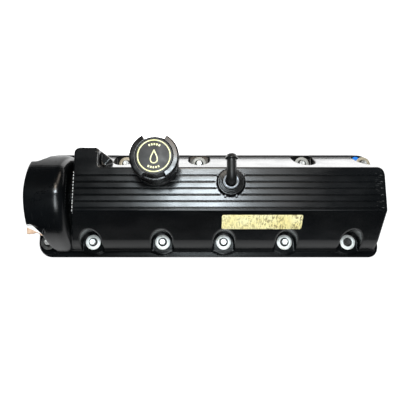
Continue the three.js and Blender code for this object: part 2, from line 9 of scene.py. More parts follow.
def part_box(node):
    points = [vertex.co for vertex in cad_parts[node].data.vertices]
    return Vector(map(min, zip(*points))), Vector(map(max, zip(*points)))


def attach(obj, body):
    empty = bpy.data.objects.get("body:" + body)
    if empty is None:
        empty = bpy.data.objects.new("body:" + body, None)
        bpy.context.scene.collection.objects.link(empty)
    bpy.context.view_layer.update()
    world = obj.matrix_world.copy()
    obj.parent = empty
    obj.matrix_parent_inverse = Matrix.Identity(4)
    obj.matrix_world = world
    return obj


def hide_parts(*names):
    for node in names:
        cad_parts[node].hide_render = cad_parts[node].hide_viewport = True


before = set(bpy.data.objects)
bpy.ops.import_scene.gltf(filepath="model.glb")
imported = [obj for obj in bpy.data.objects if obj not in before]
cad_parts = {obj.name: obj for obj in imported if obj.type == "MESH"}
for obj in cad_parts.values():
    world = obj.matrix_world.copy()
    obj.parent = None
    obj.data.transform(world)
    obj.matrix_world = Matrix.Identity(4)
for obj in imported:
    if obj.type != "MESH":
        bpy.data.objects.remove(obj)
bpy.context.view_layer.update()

# Sizes of pieces are in millimetres, and each mesh is scaled to metres when it is made.
# Materials and lights are placed in metres.
MM = 0.001


# ---- camera ----

CAMERA_PLACE = (-12.6, -144.5, 781.8)
CAMERA_TILT = math.radians(11.3)
CAMERA_LENS = 45.0


def make_camera():
    data = bpy.data.cameras.new("camera")
    data.lens = CAMERA_LENS
    data.sensor_width = 36.0
    data.clip_end = 50.0
    camera = bpy.data.objects.new("camera", data)
    camera.location = Vector(CAMERA_PLACE) * MM
    camera.rotation_euler = (CAMERA_TILT, 0.0, 0.0)
    bpy.context.collection.objects.link(camera)
    bpy.context.scene.camera = camera


make_camera()


# ---- places read from the frame ----

def span(node):
    """Lowest and highest corner of a CAD node, in millimetres."""
    low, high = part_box(node)
    return np.array(low) / MM, np.array(high) / MM


def round_span(node):
    """Bottom, top and radius of a CAD node that is round about an upright axis."""
    low, high = span(node)
    return low[2], high[2], (high[0] - low[0]) / 2


def plan_centre(node):
    low, high = span(node)
    return ((low + high) / 2)[:2]


def plan_centres(prefix):
    """Plan centres of the numbered nodes whose names start with the prefix."""
    count = sum(name.startswith(prefix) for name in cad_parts)
    return [plan_centre(f"{prefix}{i + 1}") for i in range(count)]


COVER_LOW, COVER_HIGH = span("cover_shell")
BOLTS = plan_centres("bolt_")
SCREWS = plan_centres("baffle_screw_")
FILLER = plan_centre("filler_neck")
VALVE = plan_centre("pcv_valve_body")
FLANGE_BOTTOM = COVER_LOW[2]
HALF_LENGTH = COVER_HIGH[0]
HALF_WIDTH = COVER_HIGH[1]


# ---- distance fields ----
# The casting and the cap are drawn as distance fields: negative inside, positive outside.

def join(a, b, fillet):
    """The two solids together, with a fillet where they meet."""
    share = np.clip(0.5 + 0.5 * (b - a) / fillet, 0, 1)
    return b + (a - b) * share - fillet * share * (1 - share)


def meet(a, b, rounding):
    """What the two solids share, with a rounded edge."""
    return -join(-a, -b, rounding)


def cut(a, b, rounding):
    """The first solid less the second."""
    return meet(a, -b, rounding)


def slab(z, bottom, top):
    return np.maximum(bottom - z, z - top)


def half_plane(u, v, start, end):
    """Negative on the left of the line from start to end."""
    length = math.hypot(end[0] - start[0], end[1] - start[1])
    across = ((end[1] - start[1]) / length, -(end[0] - start[0]) / length)
    return across[0] * (u - start[0]) + across[1] * (v - start[1])


def outline_field(u, v, outline):
    """Distance to a closed outline, for columns u and rows v."""
    points = np.asarray(outline, float)
    nearest = np.full(np.broadcast(u, v).shape, np.inf)
    inside = np.zeros(nearest.shape, bool)
    for (au, av), (bu, bv) in zip(points, np.roll(points, -1, axis=0)):
        eu, ev = bu - au, bv - av
        share = np.clip(((u - au) * eu + (v - av) * ev) / (eu * eu + ev * ev), 0, 1)
        nearest = np.minimum(nearest, np.hypot(u - au - eu * share, v - av - ev * share))
        rise = ev if ev else 1.0
        inside ^= ((av > v) != (bv > v)) & (u - au < eu * (v - av) / rise)
    return np.where(inside, -nearest, nearest)


def smooth_outline(points, steps=6):
    """A Catmull-Rom curve through the points, without its first and last legs' overshoot."""
    p = [np.array(q, float) for q in (points[0], *points, points[-1])]
    out = []
    for i in range(1, len(p) - 2):
        for k in range(steps):
            t = k / steps
            a = 2 * p[i]
            b = p[i + 1] - p[i - 1]
            c = 2 * p[i - 1] - 5 * p[i] + 4 * p[i + 1] - p[i + 2]
            d = -p[i - 1] + 3 * p[i] - 3 * p[i + 1] + p[i + 2]
            out.append((a + b * t + c * t * t + d * t ** 3) / 2)
    out.append(p[-1])
    return out


def rounded_rectangle(left, right, near, far, radii, steps=8):
    """Counter-clockwise, with one corner radius or four, which start at the near left corner."""
    a, b, c, d = np.broadcast_to(radii, 4)
    corners = [
        (left + a, near + a, a, 180), (right - b, near + b, b, 270),
        (right - c, far - c, c, 0), (left + d, far - d, d, 90),
    ]
    points = []
    for x, y, radius, start in corners:
        for i in range(steps + 1):
            angle = math.radians(start + 90 * i / steps)
            points.append((x + radius * math.cos(angle), y + radius * math.sin(angle)))
    return points


def surface_net(field, axes):
    """Vertices and outward quads of the zero surface of a field sampled on a grid."""
    inside = field < 0
    cells = np.array(field.shape) - 1
    touched, points, quads = [], [], []
    for axis in range(3):
        other = [(axis + 1) % 3, (axis + 2) % 3]
        low = tuple(slice(0, -1) if k == axis else slice(None) for k in range(3))
        high = tuple(slice(1, None) if k == axis else slice(None) for k in range(3))
        edge = np.argwhere(inside[low] != inside[high])
        a = field[low][tuple(edge.T)]
        b = field[high][tuple(edge.T)]
        point = np.stack([axes[k][edge[:, k]] for k in range(3)], axis=1).astype(float)
        step = axes[axis][edge[:, axis] + 1] - axes[axis][edge[:, axis]]
        point[:, axis] += step * a / (a - b)
        ring = []
        for du, dv in ((-1, -1), (0, -1), (0, 0), (-1, 0)):
            cell = edge.copy()
            cell[:, other[0]] += du
            cell[:, other[1]] += dv
            flat = np.ravel_multi_index(tuple(cell.T), tuple(cells), mode="clip")
            touched.append(flat)
            points.append(point)
            ring.append(flat)
        ring = np.stack(ring, axis=1)
        falling = a > 0
        ring[falling] = ring[falling][:, ::-1]
        quads.append(ring)
    names, index = np.unique(np.concatenate(touched), return_inverse=True)
    points = np.concatenate(points)
    count = np.bincount(index)
    vertices = np.stack([np.bincount(index, points[:, k]) / count for k in range(3)], axis=1)
    faces = np.searchsorted(names, np.concatenate(quads))
    return vertices, faces


def sample(grids, axes, points):
    """Trilinear values of several grids at points, one column per grid."""
    corners, shares = [], []
    for k, axis in enumerate(axes):
        index = np.clip(np.searchsorted(axis, points[:, k]) - 1, 0, len(axis) - 2)
        corners.append(index)
        shares.append((points[:, k] - axis[index]) / (axis[index + 1] - axis[index]))
    total = np.zeros((len(points), len(grids)))
    for step in np.ndindex(2, 2, 2):
        weight = np.prod([shares[k] if step[k] else 1 - shares[k] for k in range(3)], axis=0)
        place = tuple(corners[k] + step[k] for k in range(3))
        total += np.stack([grid[place] for grid in grids], axis=1) * weight[:, None]
    return total


def settled_net(field, axes):
    """A surface net moved on to the zero surface, with the field's slope as its normals."""
    vertices, faces = surface_net(field, axes)
    slopes = np.gradient(field, *axes)
    for _ in range(2):
        found = sample([field, *slopes], axes, vertices)
        steepness = np.maximum((found[:, 1:] ** 2).sum(axis=1, keepdims=True), 0.3)
        vertices = vertices - np.clip(found[:, :1] * found[:, 1:] / steepness, -0.25, 0.25)
    normals = sample(slopes, axes, vertices)
    normals /= np.maximum(np.linalg.norm(normals, axis=1, keepdims=True), 1e-6)
    return vertices, faces, normals


# ---- making pieces ----

def finish_piece(mesh, body, material, nodes, crease=None):
    """Links a mesh, puts it on its body and gives it its material."""
    piece = bpy.data.objects.new(mesh.name, mesh)
    bpy.context.collection.objects.link(piece)
    mesh.shade_smooth()
    if crease is not None:
        mesh.set_sharp_from_angle(angle=math.radians(crease))
    mesh.materials.append(material)
    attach(piece, body)
    if nodes:
        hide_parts(*nodes)


def mesh_from(name, vertices, faces):
    mesh = bpy.data.meshes.new(name)
    mesh.from_pydata((np.asarray(vertices) * MM).tolist(), [], [list(map(int, f)) for f in faces])
    mesh.validate()
    return mesh


def round_corners(profile, radius, steps=3):
    """Replaces each corner of a closed profile by a small arc, except corners on the axis."""
    points = [np.array(p, float) for p in profile]
    out = []
    for i, corner in enumerate(points):
        before = points[i - 1] - corner
        after = points[(i + 1) % len(points)] - corner
        reach = min(radius, 0.4 * np.linalg.norm(before), 0.4 * np.linalg.norm(after))
        if corner[0] < 1e-6 or reach < 1e-3:
            out.append(corner)
            continue
        a = corner + before / np.linalg.norm(before) * reach
        b = corner + after / np.linalg.norm(after) * reach
        for k in range(steps + 1):
            t = k / steps
            out.append((1 - t) ** 2 * a + 2 * t * (1 - t) * corner + t * t * b)
    return out


def ring_faces(rings):
    """Faces from each ring of vertex numbers to the next, and from the last to the first."""
    faces = []
    for a, b in zip(rings, rings[1:] + rings[:1]):
        if a[0] == a[1] and b[0] == b[1]:
            continue
        for k in range(len(a)):
            m = (k + 1) % len(a)
            faces.append(list(dict.fromkeys([a[k], a[m], b[m], b[k]])))
    return faces


def ring_profile(inner, outer, bottom, top):
    return [(inner, bottom), (outer, bottom), (outer, top), (inner, top)]


def revolve(name, profile, place, segments=96, edge=0.35, ripple=None):
    """A solid of revolution about +Z from a closed [radius, z] profile, its outer side rising."""
    rings = round_corners(profile, edge)
    vertices, index = [], []
    for r, z in rings:
        if r < 1e-6:
            index.append([len(vertices)] * segments)
            vertices.append((place[0], place[1], z))
            continue
        index.append(list(range(len(vertices), len(vertices) + segments)))
        for k in range(segments):
            angle = 2 * math.pi * k / segments
            radius = r + (ripple(r, z, angle) if ripple else 0.0)
            vertices.append((place[0] + radius * math.cos(angle), place[1] + radius * math.sin(angle), z))
    return mesh_from(name, vertices, ring_faces(index))


def plate(name, outlines, bottom, top, edge=0.3):
    """A flat plate with rounded edges; outlines after the first, inside it, are holes."""
    curve = bpy.data.curves.new(name, "CURVE")
    curve.dimensions = "2D"
    curve.fill_mode = "BOTH"
    curve.extrude = ((top - bottom) / 2 - edge) * MM
    curve.bevel_depth = edge * MM
    curve.bevel_resolution = 2
    curve.offset = -edge * MM
    for outline in outlines:
        spline = curve.splines.new("POLY")
        spline.points.add(len(outline) - 1)
        for point, (x, y) in zip(spline.points, outline):
            point.co = (x * MM, y * MM, 0, 1)
        spline.use_cyclic_u = True
    holder = bpy.data.objects.new(name, curve)
    bpy.context.collection.objects.link(holder)
    graph = bpy.context.evaluated_depsgraph_get()
    mesh = bpy.data.meshes.new_from_object(holder.evaluated_get(graph))
    bpy.data.objects.remove(holder)
    mesh.name = name
    build = bmesh.new()
    build.from_mesh(mesh)
    bmesh.ops.remove_doubles(build, verts=build.verts, dist=1e-6)
    bmesh.ops.translate(build, verts=build.verts, vec=(0, 0, (top + bottom) / 2 * MM))
    bmesh.ops.recalc_face_normals(build, faces=build.faces)
    build.to_mesh(mesh)
    build.free()
    return mesh


def circle(x, y, radius, steps=48):
    angles = [2 * math.pi * i / steps for i in range(steps)]
    return [(x + radius * math.cos(a), y + radius * math.sin(a)) for a in angles]


def merge_into(mesh, others):
    """Adds other meshes to a mesh and frees them."""
    build = bmesh.new()
    build.from_mesh(mesh)
    for other in others:
        build.from_mesh(other)
        bpy.data.meshes.remove(other)
    build.to_mesh(mesh)
    build.free()
    return mesh


def field_piece(name, field, axes, shift, body, material, node):
    """A piece bounded by the zero surface of a field, moved by shift."""
    vertices, faces, normals = settled_net(field, axes)
    mesh = mesh_from(name, vertices + shift, faces)
    finish_piece(mesh, body, material, [node])
    mesh.normals_split_custom_set_from_vertices(normals.tolist())


# ---- materials ----

class Nodes:
    """A short way to write a node material on top of a Principled shader."""

    def __init__(self, name, **settings):
        self.material = bpy.data.materials.new(name)
        self.material.use_nodes = True
        self.tree = self.material.node_tree
        self.shader = self.tree.nodes["Principled BSDF"]
        self.where = self.tree.nodes.new("ShaderNodeTexCoord").outputs["Object"]
        self.shade(**settings)

    def feed(self, target, value):
        if isinstance(value, bpy.types.NodeSocket):
            self.tree.links.new(value, target)
        else:
            target.default_value = value

    def shade(self, **values):
        """Feeds the shader; an underscore stands for a space in an input's name."""
        for socket, value in values.items():
            self.feed(self.shader.inputs[socket.replace("_", " ")], value)

    def add(self, kind, inputs, **settings):
        node = self.tree.nodes.new(kind)
        for key, value in settings.items():
            setattr(node, key, value)
        for socket, value in inputs.items():
            self.feed(node.inputs[socket], value)
        return node

    def mapped(self, scale, rotation=(0, 0, 0)):
        inputs = {"Scale": scale, "Rotation": rotation, "Vector": self.where}
        return self.add("ShaderNodeMapping", inputs).outputs[0]

    def noise(self, scale, detail=3.0, roughness=0.5, vector=None):
        inputs = {"Scale": scale, "Detail": detail, "Roughness": roughness, "Vector": vector or self.where}
        return self.add("ShaderNodeTexNoise", inputs).outputs["Fac"]

    def ramp(self, value, low, high, out_low=0.0, out_high=1.0):
        inputs = {"Value": value, "From Min": low, "From Max": high, "To Min": out_low, "To Max": out_high}
        return self.add("ShaderNodeMapRange", inputs, interpolation_type="SMOOTHSTEP").outputs["Result"]

    def cloud(self, scale, detail, low, high, out_low=0.0, out_high=1.0):
        """Soft patches of a noise."""
        return self.ramp(self.noise(scale, detail), low, high, out_low, out_high)

    def fall(self, value, low, high):
        return self.ramp(value, low, high, 1.0, 0.0)

    def math(self, operation, value, *others):
        """The operation on one value, or from value to value in turn."""
        for other in others or (0.0,):
            value = self.add("ShaderNodeMath", {0: value, 1: other}, operation=operation).outputs[0]
        return value

    def mix(self, share, a, b):
        inputs = {"Factor": share, "A": a, "B": b}
        return self.add("ShaderNodeMix", inputs, data_type="RGBA").outputs["Result"]

    def axis(self, name, vector=None):
        return self.add("ShaderNodeSeparateXYZ", {0: vector or self.where}).outputs[name]

    def facing(self, name):
        return self.axis(name, self.add("ShaderNodeNewGeometry", {}).outputs["Normal"])

    def near(self, place, radius, soft):
        """1 at the place (millimetres), falling to 0 beyond the radius."""
        inputs = {0: self.where, 1: Vector(place) * MM}
        away = self.add("ShaderNodeVectorMath", inputs, operation="DISTANCE").outputs["Value"]
        return self.fall(away, radius * MM, (radius + soft) * MM)

    def bump(self, height, strength, distance):
        inputs = {"Strength": strength, "Distance": distance * MM, "Height": height}
        self.shade(Normal=self.add("ShaderNodeBump", inputs).outputs[0])


def grey(value, warmth=0.0):
    return (value * (1 + warmth), value, value * (1 - warmth), 1.0)


BLUE_DAB = (HALF_LENGTH - 26, 71.5, 24.0)
EDGE_CHIPS_AND_HIGHLIGHT_X = -0.1936
# A faint glow of the label film in its own colour: painted light, standing in for light falling on the
# label.
LABEL_PAINTED_GLOW = 0.04


def black_paint():
    n = Nodes("black_paint", Coat_Weight=0.06, Coat_Roughness=0.1)
    base = n.mix(n.cloud(9.0, 4.0, 0.35, 0.7), grey(0.0016, -0.1), grey(0.0034, -0.15))
    drifts = n.cloud(14.0, 3.0, 0.45, 0.75, 0.0, 0.3)
    dust = n.math("MULTIPLY", n.cloud(900.0, 2.0, 0.62, 0.75), n.ramp(n.facing("Z"), 0.6, 1.0), drifts)
    base = n.mix(dust, base, grey(0.10, 0.04))
    # Pale scuffs, with the painted highlight along the plateau's left edge among them.
    scuffs_and_highlight = paint_scuffs_and_edge_highlight(n)
    base = lobe_lip_patch(n, n.mix(scuffs_and_highlight, base, grey(0.75, 0.02)))
    dab = n.math("MULTIPLY", n.near(BLUE_DAB, 6.5, 1.5), n.cloud(160.0, 3.0, 0.36, 0.44))
    n.shade(Base_Color=n.mix(dab, base, (0.03, 0.22, 0.75, 1.0)))
    smear = n.ramp(n.noise(22.0, detail=5.0, vector=n.mapped((1.0, 2.2, 1.0))), 0.3, 0.75, 0.19, 0.27)
    n.shade(Roughness=n.math("ADD", smear, n.math("MULTIPLY", scuffs_and_highlight, 0.25)))
    waves = n.math("MULTIPLY", n.noise(60.0, detail=2.0), 2.5)
    drawn = n.math("MULTIPLY", n.noise(190.0, detail=4.0, vector=n.mapped((0.12, 1.0, 1.0))), 2.0)
    n.bump(n.math("ADD", n.noise(420.0, detail=2.0), waves, drawn), 0.16, 0.12)
    n.shade(Specular_IOR_Level=paint_gloss(n))
    return n.material


def paint_gloss(n):
    """Duller low down and in the hair cracks; on the wall behind the dome the gloss is cut as painted shade
    for the deep valley.
    """
    low = n.ramp(n.axis("Z"), 0.0212, 0.055, 0.4, 1.0)
    left = n.fall(n.axis("X"), -0.192, -0.188)
    # The wall behind the dome gets little gloss: painted shade of the valley.
    wall = n.math("MULTIPLY", n.ramp(n.facing("X"), 0.6, 0.85), left, 0.8)
    return n.math("MULTIPLY", low, n.ramp(n.math("MAXIMUM", dome_cracks(n), wall), 0.0, 1.0, 0.28, 0.02))


def dome_cracks(n):
    """Hair cracks in the paint of the dome, as thin level lines of a noise."""
    level = n.math("ABSOLUTE", n.math("SUBTRACT", n.noise(30.0, detail=6.0, roughness=0.6), 0.5))
    patch = n.ramp(n.noise(45.0, detail=1.0, vector=n.mapped((1.0, 0.7, 1.0))), 0.50, 0.56)
    return n.math("MULTIPLY", n.fall(level, 0.004, 0.009), patch, n.fall(n.axis("X"), -0.216, -0.210))


def paint_scuffs_and_edge_highlight(n):
    """Short marks near the right end, chips along the left edge that also paint that edge's highlight, and
    fine scratches on the dome.
    """
    x, y = n.axis("X"), n.axis("Y")
    high = n.ramp(n.axis("Z"), 0.0845, 0.0865)
    hair = n.ramp(n.noise(150.0, detail=6.0, vector=n.mapped((1.0, 4.5, 1.0), (0, 0, 0.6))), 0.60, 0.64)
    hair = n.math("MULTIPLY", hair, 0.025)
    right = n.math("MULTIPLY", n.ramp(x, 0.2355, 0.2385), n.fall(x, 0.2455, 0.2480), high, hair)
    # A scalloped pale line along the plateau's left edge: partly chipped paint, partly a painted highlight
    # of the rounded edge.
    drift = n.math("MULTIPLY", n.noise(60.0), 9.0)
    wave = n.math("SINE", n.math("ADD", n.math("MULTIPLY", y, 1350.0), drift))
    away = n.math("ADD", n.math("SUBTRACT", x, EDGE_CHIPS_AND_HIGHLIGHT_X), n.math("MULTIPLY", wave, 0.0005))
    edge = n.fall(n.math("ABSOLUTE", away), 0.0006, 0.0015)
    chips_and_highlight = n.math("MULTIPLY", edge, n.fall(y, 0.034, 0.037), high, n.ramp(wave, -0.35, 0.1))
    fine = n.ramp(n.noise(70.0, detail=8.0, vector=n.mapped((5.0, 0.6, 1.0), (0, 0, 0.9))), 0.66, 0.69)
    fine = n.math("MULTIPLY", fine, n.ramp(x, -0.214, -0.206, 0.005, 0.0))
    return n.math("MAXIMUM", right, chips_and_highlight, fine)


def lobe_lip_patch(n, base):
    """A mottled brown band on the lip under the dome's near corner, with a near-white band above it."""
    x, y, z = n.axis("X"), n.axis("Y"), n.axis("Z")
    corner = n.math("MULTIPLY", n.fall(x, -0.2335, -0.2325), n.fall(y, -0.0415, -0.0400))
    height = n.math("MULTIPLY", n.ramp(z, 0.0780, 0.0786), n.fall(z, 0.0885, 0.0895))
    edge = n.math("ADD", y, n.math("MULTIPLY", x, 0.9))
    here = n.math("MULTIPLY", corner, height, n.fall(edge, -0.2658, -0.2650))
    slant = n.math("ADD", y, n.math("MULTIPLY", x, 0.46))
    upper = n.ramp(slant, -0.1624, -0.1616)
    stain = n.cloud(160.0, 3.0, 0.35, 0.65)
    brown_band = n.mix(stain, (0.36, 0.19, 0.11, 1), (0.62, 0.44, 0.32, 1))
    return n.mix(here, base, n.mix(upper, brown_band, grey(0.85, 0.02)))


def moulded(name, base=0.008, roughness=0.42, grain=1500.0, strength=0.25, specular=0.45):
    n = Nodes(name, Specular_IOR_Level=specular)
    n.shade(Base_Color=n.mix(n.cloud(35.0, 4.0, 0.35, 0.7), grey(base), grey(base * 1.9, 0.03)))
    n.shade(Roughness=n.cloud(80.0, 4.0, 0.3, 0.7, roughness - 0.07, roughness + 0.08))
    n.bump(n.noise(grain, detail=2.0), strength, 0.05)
    return n.material


def rubber(name, base=0.014):
    n = Nodes(name, Specular_IOR_Level=0.35)
    n.shade(Base_Color=n.mix(n.cloud(55.0, 5.0, 0.5, 0.8), grey(base), grey(base * 3.0, 0.05)))
    n.shade(Roughness=n.cloud(120.0, 3.0, 0.3, 0.7, 0.62, 0.8))
    n.bump(n.noise(1100.0), 0.3, 0.06)
    return n.material


def metal(name, base, stain, roughness=0.38, metallic=0.85, brushed=(1.0, 1.0, 1.0)):
    n = Nodes(name, Metallic=metallic)
    n.shade(Base_Color=n.mix(n.cloud(170.0, 5.0, 0.42, 0.72), (*base, 1), (*stain, 1)))
    n.shade(Roughness=n.cloud(300.0, 3.0, 0.3, 0.7, roughness - 0.1, roughness + 0.12))
    n.bump(n.noise(900.0, vector=n.mapped(brushed)), 0.25, 0.05)
    return n.material


def printed_film():
    """Yellowed film with columns of smudged, unreadable marks, which also glows faintly in its own colour
    as painted light.
    """
    n = Nodes("label_film", Specular_IOR_Level=0.4, Emission_Strength=LABEL_PAINTED_GLOW)
    base = n.mix(n.cloud(40.0, 5.0, 0.35, 0.7), (0.86, 0.74, 0.32, 1), (0.92, 0.84, 0.48, 1))
    columns = n.noise(560.0, detail=2.0, roughness=0.6, vector=n.mapped((1.0, 0.2, 0.2)))
    breaks = n.noise(420.0, vector=n.mapped((0.5, 1.0, 1.0)))
    patches = n.cloud(38.0, 2.0, 0.30, 0.50, 0.25, 1.0)
    darker = n.ramp(n.axis("X"), 0.03, 0.12, 0.45, 0.85)
    marks = n.math("MULTIPLY", n.ramp(columns, 0.45, 0.56), n.ramp(breaks, 0.36, 0.52), patches, darker)
    base = n.mix(marks, base, (0.16, 0.11, 0.035, 1))
    grime = n.cloud(600.0, 6.0, 0.60, 0.72, 0.0, 0.5)
    base = n.mix(grime, base, (0.42, 0.34, 0.16, 1))
    # The film's own colour also feeds its faint painted glow.
    n.shade(Base_Color=base, Emission_Color=base, Roughness=n.cloud(60.0, 3.0, 0.3, 0.7, 0.42, 0.6))
    n.bump(n.noise(500.0), 0.15, 0.05)
    return n.material


def ring_ink():
    n = Nodes("badge_ink", Specular_IOR_Level=0.4)
    n.shade(Base_Color=n.mix(n.cloud(200.0, 4.0, 0.4, 0.7), (0.78, 0.76, 0.36, 1), (0.90, 0.88, 0.54, 1)))
    n.shade(Roughness=n.cloud(150.0, 3.0, 0.3, 0.7, 0.4, 0.55))
    n.bump(n.noise(900.0, detail=2.0), 0.2, 0.04)
    return n.material


PAINT = black_paint()
CAP_PLASTIC = moulded("cap_plastic", 0.0016, 0.24, 1300.0, 0.03, 0.34)
NECK_PLASTIC = moulded("neck_plastic", 0.008, 0.42)
VALVE_PLASTIC = moulded("valve_plastic", 0.0014, 0.2, 1700.0, 0.04, 0.26)
ELBOW_PLASTIC = moulded("elbow_plastic", 0.004, 0.42, 1500.0, 0.15, 0.3)
BADGE_FACE = moulded("badge_face", 0.014, 0.5, 2200.0, 0.15, 0.35)
BADGE_INK = ring_ink()
GASKET_RUBBER = rubber("gasket_rubber", 0.012)
SEAL_RUBBER = rubber("seal_rubber", 0.009)
ZINC = metal("washer_zinc", (0.74, 0.75, 0.73), (0.52, 0.51, 0.46), 0.45, 0.3)
# A dark copy of the washer zinc, as painted shade for the washers in the ears under the dome.
SHADED_ZINC = metal("washer_painted_shade", (0.10, 0.10, 0.095), (0.05, 0.045, 0.04), 0.5, 0.3)
TARNISHED_ZINC = metal("washer_tarnished", (0.40, 0.35, 0.26), (0.26, 0.21, 0.14), 0.5, 0.3)
# Darker copies of the zinc for the far washers and bolt heads: painted shade, to hold down how brightly the
# far side is lit.
FAR_ZINC_PAINTED_SHADE = metal("washer_far_painted_shade", (0.34, 0.34, 0.32), (0.22, 0.21, 0.18), 0.5, 0.3)
BOLT_ZINC = metal("bolt_zinc", (0.96, 0.96, 0.94), (0.76, 0.75, 0.70), 0.34, 0.5)
FAR_BOLT_ZINC_PAINTED_SHADE = metal("bolt_far_painted_shade", (0.45, 0.45, 0.44), (0.30, 0.30, 0.28), 0.34, 0.5)
# Near-black steel for the bolt shanks and collars; in the ring round each bolt head its near-black is
# painted shade.
DARK_STEEL_AND_SHADE = metal("bolt_collar", (0.020, 0.020, 0.020), (0.045, 0.04, 0.035), 0.6, 0.3)
RING_STEEL = metal("ring_steel", (0.10, 0.105, 0.115), (0.06, 0.065, 0.07), 0.36, 0.85)
SHEET_STEEL = metal("sheet_steel", (0.42, 0.42, 0.43), (0.25, 0.22, 0.17), 0.4, 0.9, (6, 1, 1))
SPRING_STEEL = metal("spring_steel", (0.50, 0.50, 0.50), (0.34, 0.32, 0.28), 0.3, 0.95)
LABEL_FILM = printed_film()


# ---- cover casting ----

WALL = 4.0
BAND_TOP = 17.8
LEDGE_TOP = 20.0
SKIRT_NEAR = (-70.5, 20.0)
KNUCKLE = (-61.6, 39.97)
RIDGE_Y = -21.1
RIDGE_ROUNDING = 1.6
PLATEAU_FAR = 41.8
PLATEAU_Z = 89.0
SKIRT_FAR = (76.0, 20.0)
BODY_LEFT = (-194.0, PLATEAU_Z)
BODY_LEFT_FOOT = (-202.0, 39.0)
BODY_RIGHT = 252.0
FAR_RIGHT_ROUNDING = 12.0
GROOVE_FIRST = -17.2
GROOVE_PITCH = 9.45
GROOVE_COUNT = 6
GROOVE_DEPTH = 1.1
GROOVE_HALF = 0.75
GROOVE_FADE = 0.8
GROOVE_FREE = ((VALVE, 24.0), (FILLER, 31.0))
RIB_CROWN = 0.03
DOME_FRONT = -257.0
DOME_BACK = -200.5
DOME_CREST = 17.5
POCKET_RADIUS = 16.0
POCKET_SHIFT = 1.6
BOSS_RADIUS = 18.8
LEDGE_NEAR = -71.8
LEDGE_FAR = 77.4
EAR_LEFT_OF = -235.0
DOME_PROFILE = [
    SKIRT_FAR, (72, 44), (63, 70), (44, 93), (22, 106), (0, 110), (-22, 103), (-42, 88), (-56, 70),
    (-67, 45), (-74.5, 20.0),
]
LOBE_LIP = [(-256.5, -38), (-256.5, -54), (-249, -53.5), (-241, -54.5), (-234, -56), (-231, -45)]
LOBE_LIP_BOTTOM, LOBE_LIP_TOP = 79.0, 84.0
BREATHER_PLAN = rounded_rectangle(-206, -146, 34, 71.4, (1, 1, 10, 1))
BREATHER_SIDE = ((-152.5, 60), (-158.5, PLATEAU_Z))
GUSSET_PLAN = [(-152, 45.6), (-142.4, 57.6), (-152, 65)]
GUSSET_LEFT = -156
GUSSET_TOP = 79
GUSSET_DRAFT = 0.08
FILLER_BORE, FILLER_BORE_FOOT = 21.8, 62
FILLER_BOSS, FILLER_BOSS_FOOT = 26.0, 56
VALVE_BORE = 12.3
VALVE_BOSS, VALVE_BOSS_FOOT = 17.0, 74
SCREW_HOLE, SCREW_HOLE_TOP = 2.5, 71
SCREW_BOSS, SCREW_BOSS_FOOT, SCREW_BOSS_TOP = 6.0, 57.8, 87
BOLT_HOLE = 7.2
EAR_HOLE = 6.6
EAR_UNDERCUT, EAR_UNDERCUT_TOP = 13.0, 36
EAR_COLUMN, EAR_COLUMN_TOP = 17.0, 40
VALLEY_PROFILE = [
    SKIRT_FAR, (66, 40), (46, 60), (10, 66), (-18, 64), (-40, 54), (-58, 38), SKIRT_NEAR,
]
NEAR_SWEEP = [(-249, -42), (-241, -46.5), (-237, -58), (-233, -68), (-227, -76)]
FAR_SWEEP = [(-224, 78), (-231, 71), (-239, 62), (-244, 56), (-249, 53)]


def casting_axes():
    """Grid lines, closer along X where the dome meets the body and along Y over the plateau."""
    wide, narrow = 1.6, 0.8
    left = np.arange(-HALF_LENGTH - 3, -212, wide)
    middle = np.arange(left[-1] + narrow, -128, narrow)
    x = np.concatenate([left, middle, np.arange(middle[-1] + wide, HALF_LENGTH + 4, wide)])
    fine = np.arange(RIDGE_Y - 4, PLATEAU_FAR + 2, 0.45)
    near = np.arange(-HALF_WIDTH - 3, RIDGE_Y - 4.6, 1.2)
    far = np.arange(PLATEAU_FAR + 3, HALF_WIDTH + 4, 1.2)
    y = np.concatenate([near, fine, far])
    z = np.arange(FLANGE_BOTTOM - 3, COVER_HIGH[2] + 3, 1.1)
    return x, y, z


def body_field(x, y, z):
    """The long body without its plateau and left end."""
    label_face = half_plane(y, z, (RIDGE_Y, PLATEAU_Z), KNUCKLE)
    skirt = half_plane(y, z, KNUCKLE, SKIRT_NEAR)
    far_face = half_plane(y, z, SKIRT_FAR, (PLATEAU_FAR, PLATEAU_Z))
    far = meet(far_face, x - BODY_RIGHT, FAR_RIGHT_ROUNDING)
    return meet(meet(label_face, skirt, 2.0), far, 2.0)


def tube_field(x, y, place, radius):
    return np.hypot(x - place[0], y - place[1]) - radius


def plateau_height(x, y):
    """Ribs with a slight crown; their grooves end at the right and round the valve and the filler."""
    turn = (y - GROOVE_FIRST) / GROOVE_PITCH
    index = np.clip(np.round(turn), 0, GROOVE_COUNT - 1)
    across = (y - GROOVE_FIRST) - index * GROOVE_PITCH
    groove = GROOVE_DEPTH * np.exp(-((across / GROOVE_HALF) ** 4))
    crown = RIB_CROWN * (2 * (turn % 1.0) - 1) ** 2 * ((turn > 0) & (turn < GROOVE_COUNT - 1))
    run = 1 / (1 + np.exp((x - (BODY_RIGHT - 6)) / GROOVE_FADE))
    for place, radius in GROOVE_FREE:
        run = run / (1 + np.exp(-tube_field(x, y, place, radius) / GROOVE_FADE))
    return PLATEAU_Z - (groove + crown) * run


def plan_field(x, y, outline):
    return outline_field(x[:, :, 0], y[:, :, 0], outline)[:, :, None]


def dome_field(x, y, z, shrink):
    profile = outline_field(y[0], z[0], smooth_outline(DOME_PROFILE))[None] + shrink
    plan = [(DOME_FRONT, 52.5), (DOME_FRONT, -42), *smooth_outline(NEAR_SWEEP)]
    plan += [(DOME_BACK + 30, -76), (DOME_BACK + 30, 78), *smooth_outline(FAR_SWEEP)]
    dome = meet(profile, plan_field(x, y, plan) + shrink, 2.5)
    return meet(dome, x - (DOME_BACK - shrink), DOME_CREST)


